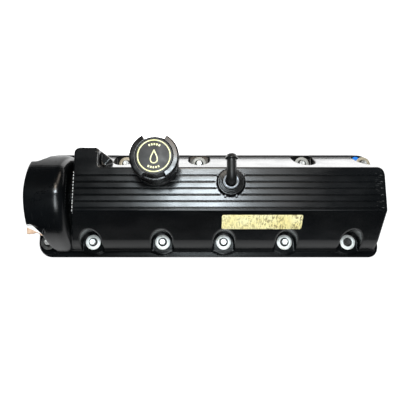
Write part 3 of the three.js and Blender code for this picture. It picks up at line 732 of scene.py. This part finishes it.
def breather_field(x, y, z, left):
    """Plan and sloping side of the breather box on the far side, without its top."""
    side = half_plane(x, z, *BREATHER_SIDE)
    return meet(meet(plan_field(x, y, BREATHER_PLAN), side, 5.0), left, 10.0)


def cover_volume(x, y, z, shrink):
    """The cover as a solid, or its cavity when shrink is the wall thickness."""
    top = z - plateau_height(x, y) if shrink == 0 else z - PLATEAU_Z
    left = half_plane(x, z, BODY_LEFT, BODY_LEFT_FOOT)
    sides = join(body_field(x, y, z), breather_field(x, y, z, left), 7.0)
    body = meet(meet(sides, top, RIDGE_ROUNDING), left, 1.4) + shrink
    valley = outline_field(y[0], z[0], smooth_outline(VALLEY_PROFILE))[None] + shrink
    valley = np.maximum(valley, np.maximum(x - BODY_LEFT[0] - 12, DOME_BACK - 12 - x))
    return join(join(body, valley, 2.0), dome_field(x, y, z, shrink), 2.0)


def pocket_field(x, y, place, radius):
    """Plan distance to a bolt pocket, open to the outside of the cover."""
    side = math.copysign(1, place[1])
    outward = side * (y - place[1]) - POCKET_SHIFT
    return np.hypot(x - place[0], np.minimum(outward, 0)) - radius


def post_field(x, y, z, place, radius, bottom=-math.inf, top=math.inf):
    """An upright round post, or a hole's shape, with square ends."""
    return np.maximum(tube_field(x, y, place, radius), slab(z, bottom, top))


def ledge_field(x, y, z):
    """The flange band and the raised ledge that bows out around each bolt."""
    outline = rounded_rectangle(-HALF_LENGTH, HALF_LENGTH, -HALF_WIDTH, HALF_WIDTH, (22, 15, 24, 22))
    flange = plan_field(x, y, outline)
    band = meet(meet(flange, z - BAND_TOP, 1.6), FLANGE_BOTTOM - z, 0.6)
    plan = np.maximum(np.maximum(LEDGE_NEAR - y, y - LEDGE_FAR), abs(x) - 253.5)
    for place in BOLTS:
        plan = join(plan, tube_field(x, y, place, BOSS_RADIUS), 5.0)
    ledge = meet(np.maximum(plan, flange + 1.2), z - LEDGE_TOP, 1.6)
    return join(band, np.maximum(ledge, FLANGE_BOTTOM - z), 1.2)


def gusset_field(x, y, z):
    """The wedge beside the breather box, its sides drawn in towards the top."""
    tip = np.maximum(half_plane(x, y, *GUSSET_PLAN[:2]), half_plane(x, y, *GUSSET_PLAN[1:]))
    draft = GUSSET_DRAFT * np.maximum(z - GUSSET_TOP, -12)
    return meet(np.maximum(tip + draft, GUSSET_LEFT - x), z - GUSSET_TOP, 0.8)


def open_ear(outside, x, y, z, place):
    """The casting cut away round a bolt in an ear beside the dome."""
    undercut = meet(tube_field(x, y, place, EAR_UNDERCUT), slab(z, LEDGE_TOP, EAR_UNDERCUT_TOP), 1.0)
    outside = cut(outside, undercut, 1.0)
    return cut(outside, post_field(x, y, z, place, EAR_HOLE, LEDGE_TOP), 0.8)


def bosses_and_bores(solid, x, y, z):
    """The casting with its screw bosses and with the seats of the valve, the filler and the bolts."""
    for place in SCREWS:
        solid = np.minimum(solid, post_field(x, y, z, place, SCREW_BOSS, SCREW_BOSS_FOOT, SCREW_BOSS_TOP))
        solid = np.maximum(solid, -post_field(x, y, z, place, SCREW_HOLE, top=SCREW_HOLE_TOP))
    solid = np.minimum(solid, post_field(x, y, z, VALVE, VALVE_BOSS, VALVE_BOSS_FOOT, PLATEAU_Z))
    solid = np.maximum(solid, -tube_field(x, y, VALVE, VALVE_BORE))
    solid = np.maximum(solid, -post_field(x, y, z, FILLER, FILLER_BORE, FILLER_BORE_FOOT))
    for place in BOLTS:
        solid = np.maximum(solid, -np.maximum(tube_field(x, y, place, BOLT_HOLE), z - LEDGE_TOP - 1))
    return solid


def casting_field(x, y, z):
    outside = join(cover_volume(x, y, z, 0), ledge_field(x, y, z), 1.6)
    boss = meet(tube_field(x, y, FILLER, FILLER_BOSS), slab(z, FILLER_BOSS_FOOT, PLATEAU_Z), 1.5)
    outside = join(join(outside, boss, 3.0), gusset_field(x, y, z), 0.8)
    lip = meet(plan_field(x, y, LOBE_LIP), slab(z, LOBE_LIP_BOTTOM, LOBE_LIP_TOP), 1.2)
    outside = np.maximum(np.minimum(outside, lip), FLANGE_BOTTOM - z)
    cavity = cover_volume(x, y, z, WALL)
    for place in BOLTS:
        if place[0] < EAR_LEFT_OF:
            column = post_field(x, y, z, place, EAR_COLUMN, top=EAR_COLUMN_TOP)
            outside = open_ear(outside, x, y, z, place)
        else:
            column = pocket_field(x, y, place, POCKET_RADIUS + WALL)
            pocket = np.maximum(pocket_field(x, y, place, POCKET_RADIUS), LEDGE_TOP - z)
            outside = cut(outside, pocket, 1.6)
        cavity = np.maximum(cavity, -column)
    return bosses_and_bores(cut(outside, cavity, 1.2), x, y, z)


def cover_casting():
    axes = casting_axes()
    x, y, z = np.meshgrid(*[a.astype(np.float32) for a in axes], indexing="ij", sparse=True)
    field = np.broadcast_to(casting_field(x, y, z), tuple(len(a) for a in axes))
    field_piece("cover_casting", field, axes, (0, 0, 0), "cover", PAINT, "cover_shell")


def cast_mark():
    """A small raised ring on top of the breather box."""
    radius = 2.6
    ring = ring_profile(radius - 1.2, radius, PLATEAU_Z - 0.5, PLATEAU_Z + 0.5)
    mesh = revolve("cast_mark", ring, (-161.0, 64.5), 40, 0.3)
    finish_piece(mesh, "cover", PAINT, [], 60)


cover_casting()
cast_mark()


# ---- gasket, isolators, washers and bolts ----

def perimeter_gasket():
    low, high = span("perimeter_gasket")
    radii = np.array((20.8, 13.8, 22.8, 20.8))
    width = 6.0
    outer = rounded_rectangle(low[0], high[0], low[1], high[1], radii)
    inner = rounded_rectangle(
        low[0] + width, high[0] - width, low[1] + width, high[1] - width, radii - width
    )
    mesh = plate("gasket_ring", [outer, inner], low[2], high[2], 0.9)
    finish_piece(mesh, "cover", GASKET_RUBBER, ["perimeter_gasket"], 40)


def isolator(number, place):
    bottom, top, radius = round_span(f"isolator_{number}")
    bore, stem, lip = 3.4, 6.9, top - 2
    profile = [(bore, bottom), (stem, bottom), (stem, lip), (radius, lip), (radius, top), (bore, top)]
    mesh = revolve(f"isolator_ring_{number}", profile, place, 64, 0.5)
    finish_piece(mesh, "cover", GASKET_RUBBER, [f"isolator_{number}"], 40)


def washer(number, place, material):
    """A dished washer with a step and a deep centre that leaves a dark ring round the bolt; the bolt's
    near-black collar paints more shade into that ring.
    """
    bottom, top, radius = round_span(f"washer_{number}")
    profile = [
        (6.4, bottom), (radius - 0.3, bottom), (radius, bottom + 0.5), (radius - 0.6, bottom + 1.4),
        (9.7, bottom + 1.6), (9.2, top - 0.1), (7.2, top), (6.4, top - 0.7),
    ]
    mesh = revolve(f"stepped_washer_{number}", profile, place, 96, 0.3)
    finish_piece(mesh, "cover", material, [f"washer_{number}"], 40)


def hexagon(radius):
    """Radius change that turns a circle of the across-corners radius into a hexagon."""
    def ripple(r, z, angle):
        sector = (angle % (math.pi / 3)) - math.pi / 6
        flat = radius * math.cos(math.pi / 6) / math.cos(sector)
        return min(0.0, flat - r)
    return ripple


def bolt(number, place):
    """A threaded shank with a collar, and a hexagon head with a dimple."""
    bottom, top = round_span(f"bolt_{number}")[:2]
    seat = top - 5.7
    tip = bottom + 1.2
    thread_top = bottom + 16

    def thread(r, z, angle):
        return 0.12 * math.sin(2 * math.pi * z + angle) if 2.5 < r < 3.1 and z < thread_top else 0.0

    shank = [(0, bottom), (2.0, bottom), *((3.0, tip + 0.25 * k) for k in range(56))]
    shank += [(3.0, seat - 1.6), (5.1, seat - 1.4), (5.2, seat), (0, seat)]
    body = revolve(f"bolt_shank_{number}", shank, place, 32, 0.15, thread)
    finish_piece(body, "cover", DARK_STEEL_AND_SHADE, [f"bolt_{number}"], 40)
    corner = 8 / math.sqrt(3)
    dimple = top - 0.35
    head = [
        (0, seat - 0.5), (corner, seat - 0.5), (corner, top - 0.8), (3.7, top), (2.6, top), (2.2, dimple),
        (0, dimple),
    ]
    mesh = revolve(f"bolt_head_{number}", head, place, 72, 0.2, hexagon(corner))
    # The near bolt at the right end gets a near-black head: a painted dark reflection.
    dark_reflected_head = place[0] > 200 and place[1] < 0
    # Far bolt heads take the darker zinc copy as painted shade.
    plating = FAR_BOLT_ZINC_PAINTED_SHADE if place[1] > 0 else BOLT_ZINC
    finish_piece(mesh, "cover", DARK_STEEL_AND_SHADE if dark_reflected_head else plating, [], 30)


def fasteners():
    for number, place in enumerate(BOLTS, 1):
        tarnished = place[1] > 0 and abs(place[0] - 60) > 120
        # Far washers take the darker zinc copy as painted shade.
        plating = FAR_ZINC_PAINTED_SHADE if place[1] > 0 else ZINC
        plating = TARNISHED_ZINC if tarnished else plating
        isolator(number, place)
        # The ear washers take the dark zinc copy that paints their shade.
        washer(number, place, SHADED_ZINC if place[0] < EAR_LEFT_OF else plating)
        bolt(number, place)


perimeter_gasket()
fasteners()


# ---- oil baffle ----

def oil_baffle():
    low, high = span("oil_baffle")
    sheet = 1.5
    outer = rounded_rectangle(low[0], high[0], low[1], high[1], 8)
    holes = [circle(x, y, 2.6, 24) for x, y in SCREWS]
    pitch = (high[0] - low[0]) / 10
    for i in range(1, 10):
        x = low[0] + i * pitch
        holes.append(rounded_rectangle(x - 6, x + 6, 1.5, 5.5, 2, 4))
    mesh = plate("baffle_sheet", [outer, *holes], low[2], low[2] + sheet, 0.25)
    lips = []
    for y in (low[1], high[1] - sheet):
        lip = rounded_rectangle(low[0] + 8, high[0] - 8, y, y + sheet, 0.6, 3)
        lips.append(plate("lip", [lip], low[2] + 0.7, high[2], 0.25))
    merge_into(mesh, lips)
    finish_piece(mesh, "cover", SHEET_STEEL, ["oil_baffle"], 40)


def baffle_screw(number, place):
    bottom, top = round_span(f"baffle_screw_{number}")[:2]
    head = bottom + 2.4

    def cross(r, z, angle):
        return -0.5 * math.cos(4 * angle) if 0.9 < r < 2.0 and z < bottom + 1.4 else 0.0

    profile = [
        (0, bottom + 1.3), (1.4, bottom + 1.2), (1.7, bottom + 0.15), (3.4, bottom), (4.5, bottom + 1.0),
        (4.5, head), (2.2, head), (2.2, top - 1.5), (1.4, top), (0, top),
    ]
    mesh = revolve(f"baffle_pan_screw_{number}", profile, place, 48, 0.2, cross)
    finish_piece(mesh, "cover", SPRING_STEEL, [f"baffle_screw_{number}"], 40)


oil_baffle()
for screw_number, screw_place in enumerate(SCREWS, 1):
    baffle_screw(screw_number, screw_place)


# ---- oil filler ----

CAP_NOTCH_FLOOR = 26.6
CAP_NOTCH_ANGLE = math.radians(29.5)
CAP_RIM_ROUNDING = 2.4
CAP_HEAD_HEIGHT = 13
CAP_RECESS = 25.3
CAP_PLUG = 24.7
GRIP_COUNT = 36


def neck_tube():
    bottom, top, reach = round_span("filler_neck")
    bore, wall, lug_reach = 18.0, 3.5, 0.9
    outer = reach - lug_reach
    profile = [(bore, bottom), (outer, bottom), (outer, top - 0.8), (bore + wall / 2, top), (bore, top)]
    mesh = revolve("neck_tube", profile, FILLER, 120, 0.5)
    lugs = []
    for side in (-1, 1):
        inner, end = sorted((FILLER[0] + side * (outer - 0.3), FILLER[0] + side * reach))
        block = rounded_rectangle(inner, end, FILLER[1] - 4, FILLER[1] + 4, 0.4, 3)
        lugs.append(plate("lug", [block], top - 8, top - 4, 0.25))
    merge_into(mesh, lugs)
    finish_piece(mesh, "cover", NECK_PLASTIC, ["filler_neck"], 40)


def grip_band(node, name, body, material, inner, depth):
    """A short sleeve with evenly spaced grip grooves round its outside."""
    bottom, top, radius = round_span(node)
    rise = 0.8
    profile = [
        (inner, bottom), (radius - rise, bottom), (radius, bottom + rise), (radius, top - rise),
        (radius - rise, top), (inner, top),
    ]

    def grooves(r, z, angle):
        return -depth * max(0.0, math.cos(GRIP_COUNT * angle)) ** 4 if r > radius - rise - 0.5 else 0.0

    mesh = revolve(name, profile, FILLER, GRIP_COUNT * 8, 0.4, grooves)
    finish_piece(mesh, body, material, [node], 40)


def seat_seal(node, inner, outer):
    bottom, top = round_span(node)[:2]
    mesh = revolve(f"{node}_ring", ring_profile(inner, outer, bottom, top), plan_centre(node), 96, 0.7)
    finish_piece(mesh, "cover", SEAL_RUBBER, [node], 60)


def cap_field(x, y, z, bottom, top, radius):
    """The cap: a crowned gripping plate with a notch at front and back, on its plug."""
    r = np.hypot(x, y)
    head_bottom = top - CAP_HEAD_HEIGHT
    past_badge = np.maximum(r - CAP_RECESS, 0)
    crown = top - 0.03 * past_badge - 0.004 * past_badge ** 2
    head = meet(r - radius, z - crown, CAP_RIM_ROUNDING)
    head = meet(head, head_bottom - z, 1.5)
    side = abs(x) * math.cos(CAP_NOTCH_ANGLE) - abs(y) * math.sin(CAP_NOTCH_ANGLE)
    head = cut(head, meet(side, CAP_NOTCH_FLOOR - r, 1.5), 1.2)
    head = cut(head, np.maximum(r - CAP_RECESS, top - 1.5 - z), 0.9)
    plug = meet(r - CAP_PLUG, slab(z, bottom, head_bottom + 2), 0.8)
    return join(head, plug, 0.8)


def oil_cap():
    bottom, top, radius = round_span("oil_cap")
    step = 0.4
    reach = radius + 3
    across = np.arange(-reach, reach + step, step)
    up = np.arange(bottom - 2, top + 3, step)
    x, y, z = np.meshgrid(across, across, up, indexing="ij", sparse=True)
    field = cap_field(x, y, z, bottom, top, radius)
    axes, shift = (across, across, up), (*FILLER, 0)
    field_piece("cap_moulding", field, axes, shift, "filler_cap", CAP_PLASTIC, "oil_cap")


def drop_outline(x, y, size, steps=32):
    """A plain drop of oil with its point up."""
    points = []
    for i in range(steps):
        angle = 2 * math.pi * i / steps
        width = math.sin(angle) * math.sin(angle / 2) ** 1.6
        points.append((x + size * 0.75 * width, y + size * math.cos(angle)))
    return points


def stroke(points, half):
    """A closed band that follows a closed outline: its outer and inner edges."""
    p = np.asarray(points, float)
    along = np.roll(p, -1, axis=0) - np.roll(p, 1, axis=0)
    along /= np.linalg.norm(along, axis=1)[:, None]
    side = np.stack([along[:, 1], -along[:, 0]], axis=1)
    return [(p + side * half).tolist(), (p - side * half).tolist()]


def arc_band(x, y, inner, outer, start, end, steps=8):
    angles = [math.radians(start + (end - start) * i / steps) for i in range(steps + 1)]
    edge = [(x + outer * math.cos(a), y + outer * math.sin(a)) for a in angles]
    back = [(x + inner * math.cos(a), y + inner * math.sin(a)) for a in reversed(angles)]
    return edge + back


def cap_badge():
    """A disc with a printed ring, an oil drop and two rows of dashes."""
    bottom, top, radius = round_span("oil_cap_badge")
    mesh = revolve("badge_disc", ring_profile(0, radius, bottom, top - 0.3), FILLER, 96, 0.3)
    finish_piece(mesh, "filler_cap", BADGE_FACE, ["oil_cap_badge"], 40)
    x, y = FILLER
    prints = [[circle(x, y, 22.6, 96), circle(x, y, 21.1, 96)], stroke(drop_outline(x, y - 1.0, 9.0), 0.75)]
    for side in (60, 240):
        for i in range(5):
            start = side + i * 12.5
            prints.append([arc_band(x, y, 14.6, 17.4, start, start + 7.5)])
    marks = [plate("badge_marks", outlines, top - 0.35, top - 0.02, 0.06) for outlines in prints]
    mesh = merge_into(marks[0], marks[1:])
    finish_piece(mesh, "filler_cap", BADGE_INK, [], 40)


def cap_seal():
    bottom, top, outer = round_span("oil_cap_seal")
    mesh = revolve("cap_seal_washer", ring_profile(18.0, outer, bottom, top), FILLER, 96, 0.8)
    finish_piece(mesh, "cap_seal_ring", SEAL_RUBBER, ["oil_cap_seal"], 60)


neck_tube()
grip_band("neck_collar", "collar_ring", "cover", NECK_PLASTIC, FILLER_BORE, 0.5)
grip_band("oil_cap_sleeve", "cap_sleeve", "filler_cap", CAP_PLASTIC, 25.0, 0.15)
seat_seal("filler_neck_seal", FILLER_BORE, FILLER_BOSS)
seat_seal("pcv_valve_seal", VALVE_BORE, VALVE_BOSS)
oil_cap()
cap_badge()
cap_seal()


# ---- breather valve ----

def valve_body():
    """A serrated foot ring under a stepped cone, with four tabs round the foot."""
    bottom, top, radius = round_span("pcv_valve_body")
    seat = round_span("pcv_valve_seal")[1] + 0.3
    profile = [
        (4, bottom), (10, bottom), (12, bottom + 2), (12, seat), (radius, seat), (radius, seat + 1.8),
        (18.2, seat + 4.1), (17.1, seat + 4.12), (16.0, seat + 5.9), (14.9, seat + 5.92),
        (14.0, seat + 7.5), (13.1, seat + 7.52), (12.3, top - 0.7), (11.5, top),
        (7.7, top), (7.7, 88), (6.6, 88), (6.6, bottom + 4), (4, bottom + 4),
    ]

    def serrations(r, z, angle):
        return -0.55 * (0.5 + 0.5 * math.cos(28 * angle)) ** 2 if r > radius - 0.6 else 0.0

    mesh = revolve("valve_housing", profile, VALVE, 168, 0.15, serrations)
    tabs = []
    half = 1.6
    for angle in (-112, -68, 30, 150):
        turn = math.radians(angle)
        mx = VALVE[0] + (radius + 0.4) * math.cos(turn)
        my = VALVE[1] + (radius + 0.4) * math.sin(turn)
        block = rounded_rectangle(mx - half, mx + half, my - half, my + half, 0.6, 3)
        tabs.append(plate("tab", [block], seat + 0.1, seat + 2.6, 0.3))
    merge_into(mesh, tabs)
    finish_piece(mesh, "breather_valve", VALVE_PLASTIC, ["pcv_valve_body"], 40)


def retaining_ring():
    bottom, top = round_span("pcv_retaining_ring")[:2]
    mesh = revolve("narrow_retaining_ring", ring_profile(8.6, 10.7, bottom, top - 0.1), VALVE, 96, 0.6)
    finish_piece(mesh, "breather_valve", RING_STEEL, ["pcv_retaining_ring"], 60)


def elbow_path(low, high, axis_z, bend):
    """Points and directions up the leg, round the bend and out along +Y."""
    x, y = VALVE
    places = [((x, y, low[2] + (axis_z - bend - low[2]) * i / 6), (0, 0, 1)) for i in range(6)]
    for i in range(13):
        a = math.radians(90 * i / 12)
        point = (x, y + bend * (1 - math.cos(a)), axis_z - bend + bend * math.sin(a))
        places.append((point, (0, math.sin(a), math.cos(a))))
    start = y + bend
    steps = 44
    for i in range(1, steps + 1):
        places.append(((x, start + (high[1] - start) * i / steps, axis_z), (0, 1, 0)))
    return places


PIPE_RADIUS = 6.8
PIPE_BORE = 4.6
PIPE_BEND = 9.0
BARB_RADIUS = 9.0
TIP_RADIUS = 5.6
BARB_BACK = 7.4
BARB_CREST = 5.8


def elbow_radius(y, end):
    """Outside radius along the nipple: pipe, barb, then the tapered tip."""
    behind = end - y
    if behind > BARB_BACK:
        return PIPE_RADIUS
    if behind > BARB_CREST:
        return PIPE_RADIUS + (BARB_RADIUS - PIPE_RADIUS) * min(1.0, (BARB_BACK - behind) / 0.8)
    return TIP_RADIUS + (BARB_RADIUS - TIP_RADIUS) * (behind / BARB_CREST) ** 0.8


def hose_elbow():
    low, high = span("pcv_elbow")
    axis_z = high[2] - (high[0] - low[0]) / 2
    places = elbow_path(low, high, axis_z, PIPE_BEND)
    outer = [(p, d, elbow_radius(p[1], high[1]) if d[1] > 0.99 else PIPE_RADIUS) for p, d in places]
    inner = [(p, d, PIPE_BORE) for p, d in reversed(places)]
    segments = 48
    vertices = []
    for point, direction, radius in outer + inner:
        across = Vector((1, 0, 0))
        up = Vector(direction).cross(across)
        for k in range(segments):
            angle = 2 * math.pi * k / segments
            vertices.append(Vector(point) + (across * math.cos(angle) + up * math.sin(angle)) * radius)
    rings = [range(i, i + segments) for i in range(0, len(vertices), segments)]
    mesh = mesh_from("elbow_pipe", [tuple(v) for v in vertices], ring_faces(rings))
    build = bmesh.new()
    build.from_mesh(mesh)
    bmesh.ops.recalc_face_normals(build, faces=build.faces)
    build.to_mesh(mesh)
    build.free()
    finish_piece(mesh, "hose_elbow", ELBOW_PLASTIC, ["pcv_elbow"], 38)


def dress_node(node, material):
    """Gives a CAD node that keeps its own shape a finished material."""
    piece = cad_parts[node]
    piece.data.materials.clear()
    piece.data.materials.append(material)


valve_body()
retaining_ring()
hose_elbow()
dress_node("pcv_plunger", SPRING_STEEL)
dress_node("pcv_spring", SPRING_STEEL)
dress_node("pcv_spring_stop", NECK_PLASTIC)


# ---- label ----

def label():
    low, high = span("label_plate")
    run, rise = KNUCKLE[0] - RIDGE_Y, KNUCKLE[1] - PLATEAU_Z
    slope = math.atan2(-rise, -run)
    width = high[0] - low[0]
    height = (high[1] - low[1]) / math.cos(slope)
    outline = rounded_rectangle(0, width, -height + 1.0, 0, 3, 6)
    mesh = plate("label_sticker", [outline], 0.25, 0.75, 0.15)
    far_edge = high[1] - 0.9
    top = PLATEAU_Z + (far_edge - RIDGE_Y) * rise / run
    corner = Vector((low[0], far_edge, top)) * MM
    mesh.transform(Matrix.Translation(corner) @ Matrix.Rotation(slope, 4, "X"))
    finish_piece(mesh, "cover", LABEL_FILM, ["label_plate"], 40)


label()


# ---- studio ----

CEILING = 1.15
WARM = (1.0, 0.86, 0.72)
WHITE = (1.0, 1.0, 1.0)
# Each softbox that looks straight down: its name, place in plan, size, power and colour.
CEILING_LIGHTS = [
    ("key_softbox", -0.01, 0.20, (0.24, 0.20), 10.0, (0.84, 0.94, 1.0)),
    ("warm_softbox", -0.02, 0.56, (0.24, 0.46), 5.0, WARM),
    ("near_softbox", -0.02, -0.52, (0.24, 0.80), 8.0, (0.90, 0.97, 1.0)),
    ("right_softbox", 0.22, 0.24, (0.24, 0.30), 0.8, WHITE),
    ("left_softbox", -0.22, 0.24, (0.16, 0.30), 0.2, WHITE),
]


def area_light(name, place, target, size, power, colour):
    data = bpy.data.lights.new(name, "AREA")
    data.shape = "RECTANGLE"
    data.size, data.size_y = size
    data.energy = power
    data.color = colour
    light = bpy.data.objects.new(name, data)
    light.location = place
    light.rotation_euler = (Vector(target) - Vector(place)).to_track_quat("-Z", "Y").to_euler()
    bpy.context.collection.objects.link(light)


FLOOR_CORNERS = [(-1.1, -0.42, 0), (1.1, -0.42, 0), (1.1, 1.1, 0), (-1.1, 1.1, 0)]


def pale_floor():
    """White everywhere, and brighter behind the cover."""
    n = Nodes("pale_floor", Roughness=0.8)
    n.shade(Base_Color=n.mix(n.noise(3.0), (0.20, 0.20, 0.20, 1), (0.22, 0.22, 0.22, 1)))
    beyond = n.math("MULTIPLY", n.ramp(n.axis("Y"), 0.086, 0.094), n.ramp(n.axis("X"), -0.21, -0.18))
    n.shade(Emission_Color=(1, 1, 1, 1), Emission_Strength=n.ramp(beyond, 0.0, 1.0, 0.94, 3.0))
    mesh = bpy.data.meshes.new("floor")
    mesh.from_pydata(FLOOR_CORNERS, [], [(0, 1, 2, 3)])
    mesh.materials.append(n.material)
    floor = bpy.data.objects.new("floor", mesh)
    bpy.context.collection.objects.link(floor)


def studio_world():
    """Pale where the camera sees it, and dark towards the horizon in reflections."""
    world = bpy.data.worlds.new("studio")
    world.use_nodes = True
    tree = world.node_tree
    background = tree.nodes["Background"]
    seen = tree.nodes.new("ShaderNodeLightPath").outputs["Is Camera Ray"]
    mix = tree.nodes.new("ShaderNodeMix")
    mix.data_type = "RGBA"
    mix.inputs["A"].default_value = (0.022, 0.028, 0.034, 1)
    mix.inputs["B"].default_value = (0.98, 0.98, 0.98, 1)
    tree.links.new(seen, mix.inputs["Factor"])
    tree.links.new(mix.outputs["Result"], background.inputs["Color"])
    bpy.context.scene.world = world


for softbox, plan_x, plan_y, box_size, watts, tint in CEILING_LIGHTS:
    area_light(softbox, (plan_x, plan_y, CEILING), (plan_x, plan_y, 0.0), box_size, watts, tint)
area_light("front_softbox", (0.22, -0.90, 1.30), (0.10, 0.0, 0.05), (0.70, 0.60), 5.0, (0.94, 0.98, 1.0))
area_light("back_softbox", (0.20, 0.95, 0.72), (-0.10, 0.0, 0.10), (0.30, 0.60), 2.0, WARM)
pale_floor()
studio_world()
bpy.context.scene.view_settings.view_transform = "Standard"
